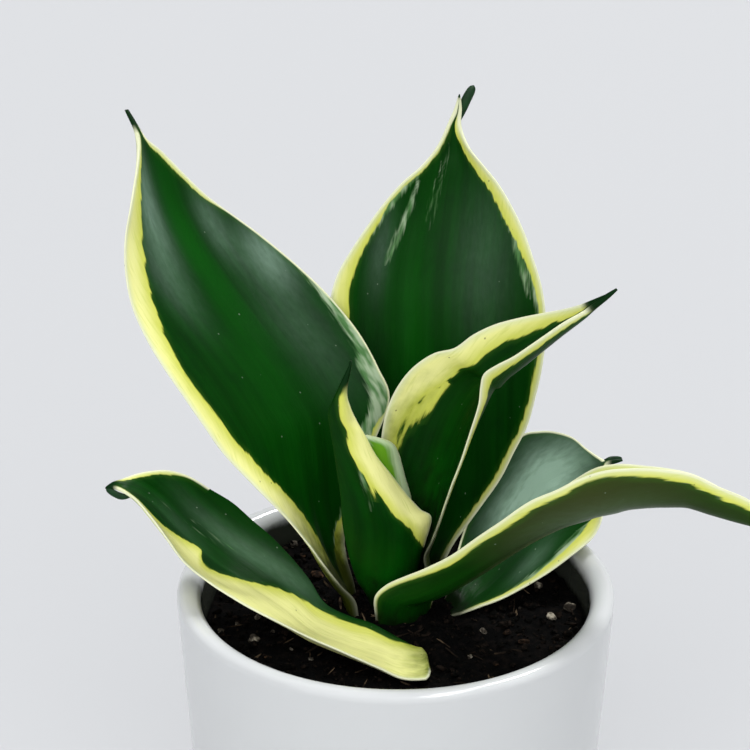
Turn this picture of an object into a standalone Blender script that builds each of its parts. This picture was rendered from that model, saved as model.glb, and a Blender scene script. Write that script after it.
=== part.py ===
"""Potted bird's-nest snake plant: a round white ceramic pot, its potting mix, the perlite and
bark on top of it, and a rosette of eight broad, cupped leaves.

Origin: centre of the pot's underside. +Z is up, +X is to the right of the plant, -Y its front.
"""

import math

import bmesh
import bpy
from mathutils import Matrix, Vector, noise

MM = 0.001

# ------------------------------------------------------------------ driving dimensions
POT_HEIGHT = 106.0 * MM
POT_RIM_RADIUS = 60.0 * MM          # widest circle, just under the lip
POT_BASE_RADIUS = 55.0 * MM         # where the wall's slope meets the ground
POT_WALL = 6.4 * MM
POT_FLOOR = 7.0 * MM
LIP_OUTER_ROUND = 2.4 * MM
LIP_INNER_ROUND = 3.8 * MM
BASE_ROUND = 3.0 * MM
INSIDE_ROUND = 4.0 * MM             # where the inner wall meets the floor

MIX_BELOW_LIP = 10.0 * MM           # how far the potting mix lies under the lip
MIX_LUMP = 0.5 * MM                 # height of its lumps
MIX_LUMP_SPACING = 7.0 * MM
HOLLOW_DEPTH = 6.0 * MM             # shallow dip in which the leaves stand
HOLLOW_SLOPE = 5.0 * MM             # width of its sloping edge, in plan
CHIP_ROUGHNESS = 0.35               # how uneven a chip's faces are

LEAF_HEIGHT_SCALE = 1.0             # stretches the rosette upwards
LEAF_SPREAD_SCALE = 1.0             # stretches the rosette sideways
LEAF_BASES_REACH = 15.5 * MM        # radius round all the leaves' bases, before stretching
LEAF_THICKNESS = 2.0 * MM           # along the middle of a leaf
LEAF_EDGE_THICKNESS = 0.8 * MM
SPINE_THICKNESS = 1.6 * MM          # the hard point at a leaf's end

# ------------------------------------------------------------------ clearances
FIT_GAP = 0.3 * MM                  # between pieces that touch
LEAF_GAP = 0.5 * MM                 # least height of a leaf over what lies under it
CHIP_BERTH = 5.0 * MM               # a leaf this near a chip is already clear of its top
LIP_BERTH = 4.0 * MM                # and this near the lip, clear of the lip's

# ------------------------------------------------------------------ mesh fineness
POT_SEGMENTS = 56
ROWS_PER_SPAN = 2
COLUMNS = 8
MIX_SEGMENTS = 40
MIX_RINGS = 6

# Places that follow from the sizes above.
MIX_TOP = POT_HEIGHT - MIX_BELOW_LIP
WALL_SLOPE = (POT_RIM_RADIUS - POT_BASE_RADIUS) / (POT_HEIGHT - LIP_OUTER_ROUND)
HOLLOW_FLOOR_RADIUS = LEAF_BASES_REACH * LEAF_SPREAD_SCALE + LEAF_THICKNESS / 2 + LEAF_GAP
HOLLOW_RADIUS = HOLLOW_FLOOR_RADIUS + HOLLOW_SLOPE


def outer_radius(height):
    """Radius of the pot's outer wall at a height."""
    return POT_BASE_RADIUS + WALL_SLOPE * height


def inner_radius(height):
    """Radius of the pot's inner wall at a height."""
    return outer_radius(height) - POT_WALL


# ------------------------------------------------------------------ leaves
# A leaf hangs between its two edges. Each row is one station from the base to the tip: the
# left edge, the right edge (seen on the leaf's inner face, tip up) and how deep the leaf is
# cupped away from that face. Millimetres, from the point on the pot's axis at the mix's top.
LEAVES = {
    "leaf_left_tall": (
        ((-8, -5, -4), (-10, 8, -4), 2),
        ((-12, -4, 4), (-12, 9, 5), 3),
        ((-20, -2, 14), (-14, 14, 15), 4),
        ((-31, -3, 29), (-11, 19, 29), 5),
        ((-46, -4, 49), (-2, 25, 53), 6),
        ((-56, -4, 65), (-8, 28, 70), 7),
        ((-64, -2, 80), (-19, 30, 84), 7),
        ((-70, 2, 97), (-36, 30, 98), 6),
        ((-69, 9, 113), (-51, 28, 110), 5),
        ((-68, 18, 124), (-63, 25, 122), 2),
        ((-68.5, 22, 130), (-67, 23, 130), 0),
        ((-71, 24, 135), (-70, 24.5, 135), 0),
    ),
    "leaf_back_tall": (
        ((1, 12, -4), (9, 11, -4), 2),
        ((3, 15, 8), (14, 13, 8), 3),
        ((2, 20, 18), (21, 16, 18), 4),
        ((-5, 24, 32), (30, 20, 31), 6),
        ((-13, 28, 48), (38, 23, 45), 8),
        ((-17, 30, 66), (42, 25, 61), 9),
        ((-18, 32, 80), (41, 26, 78), 9),
        ((-12, 34, 93), (37, 28, 93), 9),
        ((-2, 37, 105), (30, 32, 106), 8),
        ((8, 40, 115), (23, 36, 117), 5),
        ((15, 42, 127), (19, 40, 127), 3),
        ((20.5, 42, 138), (22.5, 41, 138), 0),
    ),
    "leaf_right_folded": (
        ((2, 10, -4), (8, 2, -4), 2),
        ((1, 10, 6), (9, 0, 10), 4),
        ((-2, 12, 17), (11, -2, 21), 6),
        ((-4, 14, 32), (14, -4, 34), 9),
        ((-3, 15, 46), (17, -7, 47), 11),
        ((1, 14, 61), (20, -10, 60), 12),
        ((10, 11, 71), (21, -13, 72), 11),
        ((21, 6, 78), (25, -15, 78), 9),
        ((32, 0, 85), (34, -17, 84), 6),
        ((42, -8, 90), (42, -17, 90), 3),
        ((48, -15, 95), (48.5, -17, 95), 1),
        ((53.5, -17, 100), (54, -18, 99.5), 0),
    ),
    "leaf_inner_front": (
        ((3, 2, -4), (-5, 2, -4), 2),
        ((5, 2, 5), (-8, 0, 5), 4),
        ((7, 3, 15), (-12, -2, 15), 6),
        ((9, 2, 26), (-15, -3, 29), 7),
        ((4, 2, 35), (-17, -4, 43), 8),
        ((-5, 0, 47), (-17, -5, 54), 7),
        ((-11, -2, 57), (-17, -6, 62), 4),
        ((-13, -7, 69), (-14.5, -7.5, 69), 1),
        ((-11.5, -7.5, 77), (-12, -8, 77), 0),
    ),
    "leaf_innermost": (
        ((4, 7, -4), (-1, 5, -4), 1),
        ((5, 8, 7), (-4, 5, 8), 2),
        ((5, 9, 18), (-6, 4.5, 22), 3),
        ((4, 9, 30), (-9, 4, 36), 4),
        ((2, 8, 41), (-9, 3.5, 45), 3),
        ((-1.5, 6, 47), (-8.5, 3, 49), 2),
        ((-7.5, 3.5, 51.5), (-8.5, 3, 51.5), 0),
    ),
    "leaf_right_arching": (
        ((9, -1, -4), (-5, -7, -4), 2.5),
        ((11, 0, 6), (-5, -7, 7), 4.5),
        ((16, 1, 11), (2, -9, 15), 6),
        ((28, 1, 19), (15, -12, 24), 5.5),
        ((44, 0, 36), (34, -17, 41), 8.5),
        ((54, -1, 44), (47, -19, 49), 11),
        ((65, -4, 46), (59, -22, 53), 10),
        ((78, -10, 46), (74, -25, 54), 8),
        ((91, -18, 41), (88, -27, 47), 5),
        ((100, -24, 37), (99, -27, 39), 1),
        ((107, -26, 33), (106.5, -27, 34), 0),
    ),
    "leaf_right_back": (
        ((13, 5, -2), (13, -4, -2), 1),
        ((16, 9, 5), (18, -3, 2), 3),
        ((19, 20, 12), (29, 1, 4), 5),
        ((26, 31, 24), (43, 7, 8), 7),
        ((37, 39, 36), (55, 15, 14), 7),
        ((47, 41, 37), (59, 20, 19), 6),
        ((57, 38, 33), (62, 27, 26), 3),
        ((62, 33, 31), (63, 31, 30), 0),
        ((66, 33.5, 31), (66, 32, 31), 0),
    ),
    "leaf_front_low": (
        ((8, -37, 1), (6, -20, 2), 1),
        ((-5, -33, 2), (-6, -15, 5), 3),
        ((-22, -28, 6), (-19, -7, 7), 4),
        ((-37, -22, 10), (-30, 3, 13), 5),
        ((-50, -17, 17), (-40, 10, 22), 6),
        ((-61, -14, 29), (-51, 12, 32), 6),
        ((-69, -8, 37), (-63, 9, 38), 4),
        ((-75, -2, 38), (-74, 0.5, 38), 0),
        ((-78, -1.5, 38), (-78, -0.5, 38), 0),
    ),
}

# Perlite and bark on the mix: x and y in hundredths of the mix's radius, longest side in
# millimetres, turn in degrees.
CHIPS = {
    "perlite": (
        (-82, -13, 3.4, 20), (-72, -8, 2.6, 70), (-90, -21, 3.2, 110), (-63, -21, 2.4, 40),
        (-72, -30, 3.6, 150), (-53, -36, 2.6, 15), (-43, -47, 2.0, 80), (-30, -80, 2.8, 60),
        (78, 25, 4.6, 30), (92, 4, 4.0, 100), (66, 3, 2.6, 10), (81, -9, 3.2, 75),
        (37, -45, 2.6, 120), (45, -22, 2.8, 35), (-57, 76, 3.6, 55), (15, 80, 3.4, 25),
    ),
    "bark": (
        (-64, -47, 6.0, 35), (-45, -68, 5.0, 160), (-51, 62, 5.5, 60), (66, -31, 8.0, 25),
        (57, -22, 4.5, 120), (50, -52, 6.5, 75), (-42, 38, 7.0, 100), (84, 42, 5.0, 140),
        (30, -84, 6.0, 10), (57, -70, 5.0, 50), (-80, 22, 5.5, 170), (-23, 84, 6.5, 20),
    ),
}

# Length, width and height of a chip as parts of its longest side.
CHIP_SHAPES = {
    "perlite": (1.0, 0.85, 0.65),
    "bark": (1.0, 0.5, 0.3),
}


# ------------------------------------------------------------------ scene helpers
def clear_scene():
    for thing in list(bpy.data.objects):
        bpy.data.objects.remove(thing, do_unlink=True)


def make_material(name, colour, roughness):
    material = bpy.data.materials.new(name)
    material.use_nodes = True
    shader = material.node_tree.nodes["Principled BSDF"]
    shader.inputs["Base Color"].default_value = (*colour, 1.0)
    shader.inputs["Roughness"].default_value = roughness
    shader.inputs["Metallic"].default_value = 0.0
    return material


def add_object(name, mesh_data, material):
    """Turn a bmesh into a named object that is shaded smooth up to 40 degrees."""
    mesh = bpy.data.meshes.new(name)
    mesh_data.to_mesh(mesh)
    mesh_data.free()
    mesh.shade_smooth()
    mesh.set_sharp_from_angle(angle=math.radians(40))
    mesh.materials.append(material)
    thing = bpy.data.objects.new(name, mesh)
    bpy.context.scene.collection.objects.link(thing)
    return thing


# ------------------------------------------------------------------ turned shapes
def corner_arc(centre, radius, start, end, steps=4):
    """Points of an arc in the (radius, height) plane, angles in degrees."""
    points = []
    for i in range(steps + 1):
        angle = math.radians(start + (end - start) * i / steps)
        points.append((centre[0] + radius * math.cos(angle), centre[1] + radius * math.sin(angle)))
    return points


def turn_profile(mesh_data, profile, segments):
    """Spin a (radius, height) profile that starts and ends on the axis into a closed body."""
    rings = []
    for radius, height in profile[1:-1]:
        ring = []
        for i in range(segments):
            angle = 2 * math.pi * i / segments
            spot = (radius * math.cos(angle), radius * math.sin(angle), height)
            ring.append(mesh_data.verts.new(spot))
        rings.append(ring)
    first = mesh_data.verts.new((0, 0, profile[0][1]))
    last = mesh_data.verts.new((0, 0, profile[-1][1]))
    for i in range(segments):
        j = (i + 1) % segments
        mesh_data.faces.new((first, rings[0][j], rings[0][i]))
        mesh_data.faces.new((last, rings[-1][i], rings[-1][j]))
        for low, high in zip(rings, rings[1:]):
            mesh_data.faces.new((low[i], low[j], high[j], high[i]))


def pot_profile():
    """From the middle of the underside, up the outside, over the lip and down to the floor."""
    base = corner_arc((outer_radius(0) - BASE_ROUND, BASE_ROUND), BASE_ROUND, -90, 0)
    outer_lip = corner_arc((POT_RIM_RADIUS - LIP_OUTER_ROUND, POT_HEIGHT - LIP_OUTER_ROUND),
                           LIP_OUTER_ROUND, 0, 90)
    bore = inner_radius(POT_HEIGHT - LIP_INNER_ROUND)
    inner_lip = corner_arc((bore + LIP_INNER_ROUND, POT_HEIGHT - LIP_INNER_ROUND),
                           LIP_INNER_ROUND, 90, 180, 5)
    inside = corner_arc((inner_radius(POT_FLOOR) - INSIDE_ROUND, POT_FLOOR + INSIDE_ROUND),
                        INSIDE_ROUND, 0, -90, 3)
    return [(0, 0)] + base + outer_lip + inner_lip + inside + [(0, POT_FLOOR)]


def make_pot(material):
    mesh_data = bmesh.new()
    turn_profile(mesh_data, pot_profile(), POT_SEGMENTS)
    return add_object("pot", mesh_data, material)


# ------------------------------------------------------------------ potting mix
def mix_radius():
    """Radius of the potting mix's top, a fit gap clear of the pot."""
    return inner_radius(MIX_TOP) - 2 * FIT_GAP


def mix_height(x, y):
    """Height of the potting mix's surface: lumpy, with the planting hollow in the middle."""
    reach = math.hypot(x, y)
    slope = (reach - HOLLOW_FLOOR_RADIUS) / (HOLLOW_RADIUS - HOLLOW_FLOOR_RADIUS)
    outside = min(max(slope, 0.0), 1.0)
    lump = MIX_LUMP * noise.noise(Vector((x, y, 0.0)) / MIX_LUMP_SPACING)
    return MIX_TOP - HOLLOW_DEPTH * (1.0 - outside) + lump * outside


def make_mix(material):
    """Fills the pot to its wall and floor with a fit gap; its top is level but lumpy."""
    bottom = POT_FLOOR + FIT_GAP
    chamfer = INSIDE_ROUND
    foot = (inner_radius(bottom) - FIT_GAP - chamfer, bottom)
    wall_foot = (inner_radius(bottom + chamfer) - 2 * FIT_GAP, bottom + chamfer)
    ring_step = (mix_radius() - HOLLOW_RADIUS) / MIX_RINGS
    radii = [mix_radius() - ring_step * ring for ring in range(MIX_RINGS + 1)]
    top = [(radius, MIX_TOP) for radius in radii + [HOLLOW_FLOOR_RADIUS, 0]]
    mesh_data = bmesh.new()
    turn_profile(mesh_data, [(0, bottom), foot, wall_foot] + top, MIX_SEGMENTS)
    for vert in mesh_data.verts:
        if vert.co.z > MIX_TOP - FIT_GAP:
            vert.co.z = mix_height(vert.co.x, vert.co.y)
    return add_object("potting_mix", mesh_data, material)


# ------------------------------------------------------------------ leaves
def smooth_value(values, place):
    """Catmull-Rom curve through a list of numbers or vectors, place counted in stations."""
    last = len(values) - 1
    index = min(int(place), last - 1)
    part = place - index
    p1, p2 = values[index], values[index + 1]
    p0 = values[index - 1] if index > 0 else p1 * 2 - p2
    p3 = values[index + 2] if index + 2 <= last else p2 * 2 - p1
    bend = (p0 * 2 - p1 * 5 + p2 * 4 - p3) * part ** 2
    twist = (p1 * 3 - p0 - p2 * 3 + p3) * part ** 3
    return (p1 * 2 + (p2 - p0) * part + bend + twist) * 0.5


def leaf_point(leaf, place, side):
    """Point of a leaf's middle surface; side runs from -1, its left edge, to 1."""
    left = smooth_value(leaf["left"], place)
    right = smooth_value(leaf["right"], place)
    step = 0.05
    before = max(place - step, 0.0)
    after = min(place + step, len(leaf["cup"]) - 1.0)
    middle_before = smooth_value(leaf["left"], before) + smooth_value(leaf["right"], before)
    middle_after = smooth_value(leaf["left"], after) + smooth_value(leaf["right"], after)
    along = middle_after - middle_before
    outward = along.cross(right - left).normalized()
    cup = smooth_value(leaf["cup"], place)
    return (left + right) * 0.5 + (right - left) * (side * 0.5) + outward * cup * (1 - side ** 2)


def lowest_height(x, y):
    """Height under which a leaf would touch the mix, a chip on it or the pot's lip."""
    if math.hypot(x, y) > inner_radius(POT_HEIGHT) - LIP_BERTH:
        return POT_HEIGHT + LEAF_GAP
    bed = mix_height(x, y)
    for kind, chips in CHIPS.items():
        for chip in chips:
            chip_x, chip_y = chip_spot(chip)
            if math.hypot(x - chip_x, y - chip_y) < chip[2] * MM / 2 + CHIP_BERTH:
                bed = max(bed, MIX_TOP + MIX_LUMP + FIT_GAP + chip_height(kind, chip))
    return bed + LEAF_GAP


def read_leaf(stations):
    """Edges and cups in metres, in place over the potting mix and stretched to size."""
    def placed(spot):
        spread = LEAF_SPREAD_SCALE * MM
        height = LEAF_HEIGHT_SCALE * MM
        return Vector((spot[0] * spread, spot[1] * spread, MIX_TOP + spot[2] * height))
    return {
        "left": [placed(row[0]) for row in stations],
        "right": [placed(row[1]) for row in stations],
        "cup": [row[2] * MM for row in stations],
    }


def leaf_thickness(side, spans_to_tip):
    """Thick along the middle, thin at the edges, and round at the hard point."""
    blade = LEAF_EDGE_THICKNESS + (LEAF_THICKNESS - LEAF_EDGE_THICKNESS) * (1 - side ** 2)
    return blade + (SPINE_THICKNESS - blade) * max(0.0, 1 - spans_to_tip)


def leaf_pair(leaf, place, side):
    """The two points, on the inner and the outer face, at one place of a leaf."""
    spans = len(leaf["cup"]) - 1
    nudge = 0.02
    along = (leaf_point(leaf, min(place + nudge, spans), side)
             - leaf_point(leaf, max(place - nudge, 0), side))
    across = (leaf_point(leaf, place, min(side + nudge, 1))
              - leaf_point(leaf, place, max(side - nudge, -1)))
    half = along.cross(across).normalized() * leaf_thickness(side, spans - place) / 2
    spot = leaf_point(leaf, place, side)
    if place == 0 and math.hypot(spot.x, spot.y) < HOLLOW_FLOOR_RADIUS:
        half.z = 0.0
        spot.z = MIX_TOP - HOLLOW_DEPTH + FIT_GAP
        return spot - half, spot + half
    spot.z = max(spot.z, lowest_height(spot.x, spot.y) + abs(half.z))
    return spot - half, spot + half


def make_leaf(name, stations, material):
    """A thin closed blade: an inner and an outer face, joined round the edge."""
    leaf = read_leaf(stations)
    spans = len(stations) - 1
    rows = spans * ROWS_PER_SPAN
    mesh_data = bmesh.new()
    inner, outer = [], []
    for row in range(rows + 1):
        pairs = [leaf_pair(leaf, spans * row / rows, 2 * column / COLUMNS - 1)
                 for column in range(COLUMNS + 1)]
        inner.append([mesh_data.verts.new(pair[0]) for pair in pairs])
        outer.append([mesh_data.verts.new(pair[1]) for pair in pairs])
    for row in range(rows):
        for face in (inner, outer):
            for column in range(COLUMNS):
                mesh_data.faces.new((face[row][column], face[row][column + 1],
                                     face[row + 1][column + 1], face[row + 1][column]))
        for column in (0, COLUMNS):
            mesh_data.faces.new((inner[row][column], outer[row][column],
                                 outer[row + 1][column], inner[row + 1][column]))
    for row in (0, rows):
        for column in range(COLUMNS):
            mesh_data.faces.new((inner[row][column], inner[row][column + 1],
                                 outer[row][column + 1], outer[row][column]))
    bmesh.ops.recalc_face_normals(mesh_data, faces=mesh_data.faces)
    return add_object(name, mesh_data, material)


# ------------------------------------------------------------------ chips
def chip_spot(chip):
    """Where a chip lies, in plan; chips keep their places as parts of the mix's radius."""
    return chip[0] / 100 * mix_radius(), chip[1] / 100 * mix_radius()


def chip_height(kind, chip):
    """The most height that a chip can have."""
    return CHIP_SHAPES[kind][2] * chip[2] * MM * (1 + CHIP_ROUGHNESS)


def make_chip(name, kind, chip, material):
    """One lump of perlite or sliver of bark, lying on the mix."""
    across, deep, size, turn = chip
    x, y = chip_spot(chip)
    mesh_data = bmesh.new()
    bmesh.ops.create_icosphere(mesh_data, subdivisions=1, radius=0.5)
    heading = Matrix.Rotation(math.radians(turn), 3, "Z")
    for vert in mesh_data.verts:
        rough = 1 + CHIP_ROUGHNESS * noise.noise(vert.co * 3 + Vector((across, deep, turn)))
        sides = [part * rough * size * MM for part in CHIP_SHAPES[kind]]
        vert.co = heading @ Vector([spot * side for spot, side in zip(vert.co, sides)])
    bed = max(mix_height(x + vert.co.x, y + vert.co.y) for vert in mesh_data.verts)
    lowest = min(vert.co.z for vert in mesh_data.verts)
    lump = add_object(name, mesh_data, material)
    lump.location = (x, y, bed + MIX_LUMP / 2 + FIT_GAP - lowest)
    return lump


def main():
    clear_scene()
    glaze = make_material("white_glaze", (0.86, 0.87, 0.88), 0.25)
    soil = make_material("potting_mix", (0.035, 0.028, 0.024), 0.95)
    leaf_skin = make_material("leaf_skin", (0.12, 0.22, 0.07), 0.4)
    chip_skins = {
        "perlite": make_material("perlite", (0.55, 0.52, 0.45), 0.9),
        "bark": make_material("bark", (0.14, 0.09, 0.05), 0.9),
    }
    make_pot(glaze)
    make_mix(soil)
    for name, stations in LEAVES.items():
        make_leaf(name, stations, leaf_skin)
    for kind, chips in CHIPS.items():
        for number, chip in enumerate(chips, 1):
            make_chip(f"{kind}_chip_{number:02d}", kind, chip, chip_skins[kind])


main()
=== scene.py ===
"""Potted bird's-nest snake plant: glazed pot, potting mix with perlite and bark, eight leaves."""
import math
import random

import bpy
from mathutils import Euler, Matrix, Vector, noise

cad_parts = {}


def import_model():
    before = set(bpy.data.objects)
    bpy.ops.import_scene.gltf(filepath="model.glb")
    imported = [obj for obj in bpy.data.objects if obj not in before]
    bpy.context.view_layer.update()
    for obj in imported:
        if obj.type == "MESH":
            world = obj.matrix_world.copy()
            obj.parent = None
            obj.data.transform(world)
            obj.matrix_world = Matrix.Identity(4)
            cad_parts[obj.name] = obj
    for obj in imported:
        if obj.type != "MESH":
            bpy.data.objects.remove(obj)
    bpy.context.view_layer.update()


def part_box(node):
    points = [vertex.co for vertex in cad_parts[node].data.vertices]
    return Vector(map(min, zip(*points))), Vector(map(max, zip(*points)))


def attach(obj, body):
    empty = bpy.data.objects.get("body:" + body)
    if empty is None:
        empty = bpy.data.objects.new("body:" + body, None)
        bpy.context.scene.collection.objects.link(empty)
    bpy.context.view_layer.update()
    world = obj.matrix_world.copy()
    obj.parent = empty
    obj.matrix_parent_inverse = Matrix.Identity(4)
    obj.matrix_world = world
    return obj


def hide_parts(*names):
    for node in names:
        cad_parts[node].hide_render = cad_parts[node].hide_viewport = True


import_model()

bl_info = {
    "name": "Potted Snake Plant",
    "version": (1, 0, 0),
    "blender": (4, 5, 0),
    "location": "View3D > Sidebar > Snake Plant",
    "description": "Builds a variegated bird's-nest snake plant in a white glazed pot",
    "category": "Add Mesh",
}

MM = 0.001
POT_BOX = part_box("pot")
MIX_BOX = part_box("potting_mix")
POT_HEIGHT = POT_BOX[1][2]
RIM_RADIUS = POT_BOX[1][0]
MIX_RADIUS = MIX_BOX[1][0]
MIX_TOP = POT_HEIGHT - 10 * MM      # the mix's mean level
TOP = Vector((0, 0, MIX_TOP))       # leaves and points are measured from here
HAIR = 0.1 * MM                     # nearer than this counts as level
SEAM = 0.001 * MM                   # points nearer than this are merged

# The pot: thickness of its floor, then radius and segments of each rounded edge.
POT_FLOOR = 7 * MM
LIP_OUTER, LIP_INNER = (2.4 * MM, 8), (3.8 * MM, 12)
FOOT_ROUND, FLOOR_ROUND = (3.0 * MM, 6), (4.0 * MM, 5)

# What lies on the mix: how many chips, and the sizes of crumbs and slivers.
CHIP_COUNTS = {"perlite": 16, "bark": 12}
CHIP_SHAPES = {"perlite": (1.0, 0.85, 0.75), "bark": (1.0, 0.5, 0.32)}
CRUMB_SIZES = (0.8 * MM, 3.6 * MM)
SLIVERS, SLIVER_SEED = 90, 21
SLIVER_LENGTHS, SLIVER_WIDTHS = (2.5, 7), (0.35, 0.8)

# The stage, in metres from the middle of the pot's underside; angles in degrees.
LIT_SPOT = (0, 0, 0.12)
KEY_PLACE, KEY_SPREAD = (0.4, 0.6, 1.2), 14
FILL_PLACE, FILL_SPREAD = (-0.16, -1.1, 0.85), 80
STRIP_PLACE, STRIP_SIZE, STRIP_POWER = (0.15, -0.17, 0.62), (0.12, 0.42), 1.6
AIR_STRENGTH = 0.68
FLOOR_RADIUS, FLOOR_DROP = 6.0, 0.2 * MM
CAMERA_PLACE, CAMERA_TILT = (-0.0056, -0.3963, 0.3206), 68.7
CAMERA_LENS, CAMERA_SENSOR, CAMERA_NEAR = 77.95, 36.0, 0.01


# ------------------------------------------------------------------ settings
class PotSettings(bpy.types.PropertyGroup):
    wall: bpy.props.FloatProperty(
        name="Wall", description="Thickness of the pot's wall", default=6.4 * MM, unit="LENGTH")
    base_radius: bpy.props.FloatProperty(
        name="Base Radius", description="Radius of the pot at the ground", default=55 * MM,
        unit="LENGTH")
    glaze: bpy.props.FloatVectorProperty(
        name="Glaze", description="Colour of the glaze, as sRGB", default=(0.81, 0.818, 0.822),
        subtype="COLOR_GAMMA", min=0, max=1)


class LeafSettings(bpy.types.PropertyGroup):
    thickness: bpy.props.FloatProperty(
        name="Thickness", description="Thickness along the middle of a leaf", default=2.0 * MM,
        unit="LENGTH")
    edge: bpy.props.FloatProperty(
        name="Edge", description="Thickness of a leaf's rounded edge", default=0.9 * MM,
        unit="LENGTH")
    rows: bpy.props.IntProperty(
        name="Rows", description="Rings of faces along a leaf", default=120, min=20, max=300)
    columns: bpy.props.IntProperty(
        name="Columns", description="Faces round a leaf's section", default=112, min=16, max=200)


class MixSettings(bpy.types.PropertyGroup):
    crumbs: bpy.props.IntProperty(
        name="Crumbs", description="Loose crumbs on the potting mix", default=1500, min=0)
    seed: bpy.props.IntProperty(name="Seed", description="Order of the crumbs", default=7)


class StageSettings(bpy.types.PropertyGroup):
    key: bpy.props.FloatProperty(
        name="Key Light", description="Strength of the overhead soft light", default=2.0)
    fill: bpy.props.FloatProperty(
        name="Fill Light", description="Strength of the front soft light", default=1.6)


# ------------------------------------------------------------------ modelling helpers
def rest():
    """Object mode with nothing selected."""
    if bpy.context.object and bpy.context.object.mode != "OBJECT":
        bpy.ops.object.mode_set(mode="OBJECT")
    bpy.ops.object.select_all(action="DESELECT")


def named(name):
    piece = bpy.context.object
    piece.name = name
    piece.data.name = name
    return piece


def pick(piece, kind, test):
    """In edit mode, select the faces that pass the test, or the edges with both ends in it."""
    bpy.ops.object.mode_set(mode="OBJECT")
    mesh = piece.data
    for group in (mesh.vertices, mesh.edges, mesh.polygons):
        group.foreach_set("select", [False] * len(group))
    if kind == "FACE":
        for face in mesh.polygons:
            face.select = test(face.center, face.normal)
    else:
        for edge in mesh.edges:
            ends = [mesh.vertices[i].co for i in edge.vertices]
            edge.select = test(ends[0]) and test(ends[1])
    bpy.ops.object.mode_set(mode="EDIT")
    bpy.ops.mesh.select_mode(type=kind)


def finish_piece(piece, slot, material, *nodes):
    """Hand a finished piece to the frame in place of its CAD nodes."""
    rest()
    piece.data.materials.clear()
    piece.data.materials.append(material)
    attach(piece, "root")
    if nodes:
        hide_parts(*nodes)


def shaped_grid(name, rows, columns, place):
    """A grid whose points are put where place(row part, column part) says."""
    rest()
    bpy.ops.mesh.primitive_grid_add(x_subdivisions=columns, y_subdivisions=rows, size=2)
    piece = named(name)
    for vert in piece.data.vertices:
        column = round((vert.co.x + 1) / 2 * columns)
        row = round((vert.co.y + 1) / 2 * rows)
        vert.co = place(row / rows, column / columns)
    return piece


def close_up(piece):
    """Merge the seam, cap the open ends and turn the faces outwards."""
    rest()
    bpy.context.view_layer.objects.active = piece
    piece.select_set(True)
    bpy.ops.object.mode_set(mode="EDIT")
    bpy.ops.mesh.select_all(action="SELECT")
    bpy.ops.mesh.remove_doubles(threshold=SEAM)
    bpy.ops.mesh.select_all(action="DESELECT")
    bpy.ops.mesh.select_mode(type="EDGE")
    bpy.ops.mesh.select_non_manifold()
    bpy.ops.mesh.fill_holes(sides=0)
    bpy.ops.mesh.select_all(action="SELECT")
    bpy.ops.mesh.normals_make_consistent(inside=False)
    bpy.ops.object.mode_set(mode="OBJECT")
    bpy.ops.object.shade_smooth()


# ------------------------------------------------------------------ material helpers
def linear(code):
    """An sRGB hex colour as linear light."""
    parts = [int(code[i:i + 2], 16) / 255 for i in (1, 3, 5)]
    return tuple(p / 12.92 if p <= 0.04045 else ((p + 0.055) / 1.055) ** 2.4 for p in parts) + (1,)


def new_material(name):
    material = bpy.data.materials.new(name)
    material.use_nodes = True
    return material, material.node_tree.nodes["Principled BSDF"]


def feed(material, node, links):
    """Give a node its inputs, as sockets or as plain values."""
    for key, value in links.items():
        if isinstance(value, bpy.types.NodeSocket):
            material.node_tree.links.new(value, node.inputs[key])
        else:
            node.inputs[key].default_value = value


def add(material, kind, links=None, **settings):
    """Add a node. links gives its inputs as sockets or values; settings are its properties."""
    node = material.node_tree.nodes.new(kind)
    for key, value in settings.items():
        setattr(node, key, value)
    feed(material, node, links or {})
    return node


def number(material, operation, *values):
    """A Math node's output."""
    node = add(material, "ShaderNodeMath", dict(enumerate(values)), operation=operation)
    return node.outputs[0]


def times(material, first, second):
    return number(material, "MULTIPLY", first, second)


def plus(material, first, second):
    return number(material, "ADD", first, second)


def opposite(material, value):
    """1 where the value is 0, 0 where it is 1."""
    return number(material, "SUBTRACT", 1.0, value)


def swing(material, value, width):
    """A pattern made to swing about 0, over the given width."""
    return times(material, number(material, "SUBTRACT", value, 0.5), width)


def blend(material, factor, first, second):
    """first where factor is 0, second where it is 1; both colours."""
    node = add(material, "ShaderNodeMix", {0: factor, 6: first, 7: second}, data_type="RGBA")
    return node.outputs[2]


def tint(material, tone, factor, code):
    """The tone, turned into the hex colour as far as factor says."""
    return blend(material, factor, tone, linear(code))


def step(material, value, low, high):
    """0 below low, 1 above high, smooth between."""
    node = add(material, "ShaderNodeMapRange",
               {"Value": value, "From Min": low, "From Max": high}, interpolation_type="SMOOTHSTEP")
    return node.outputs["Result"]


def pattern(material, vector, size, detail=2.0, **links):
    """Noise with features of about size; vector and size are in the same unit."""
    node = add(material, "ShaderNodeTexNoise",
               {"Vector": vector, "Scale": 1.0 / size, "Detail": detail, **links})
    return node.outputs[0]


def streaky(material, vector, sizes, detail):
    """Noise whose features have the given sizes across and along a leaf."""
    scaled = stretched(material, vector, sizes)
    return pattern(material, scaled, 1.0, detail)


def stretched(material, vector, sizes):
    """The vector scaled so that one unit is one feature of the given sizes."""
    node = add(material, "ShaderNodeMapping",
               {"Vector": vector, "Scale": [1 / size for size in (*sizes, 1)]})
    return node.outputs[0]


def relief(material, height, strength, distance):
    """Fine bumps of the skin, as a normal."""
    node = add(material, "ShaderNodeBump",
               {"Height": height, "Strength": strength, "Distance": distance})
    return node.outputs[0]


def object_place(material):
    return add(material, "ShaderNodeTexCoord").outputs["Object"]


def attribute(material, name, output="Fac"):
    return add(material, "ShaderNodeAttribute", attribute_name=name).outputs[output]


def split(material, vector):
    return add(material, "ShaderNodeSeparateXYZ", {0: vector}).outputs


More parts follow.
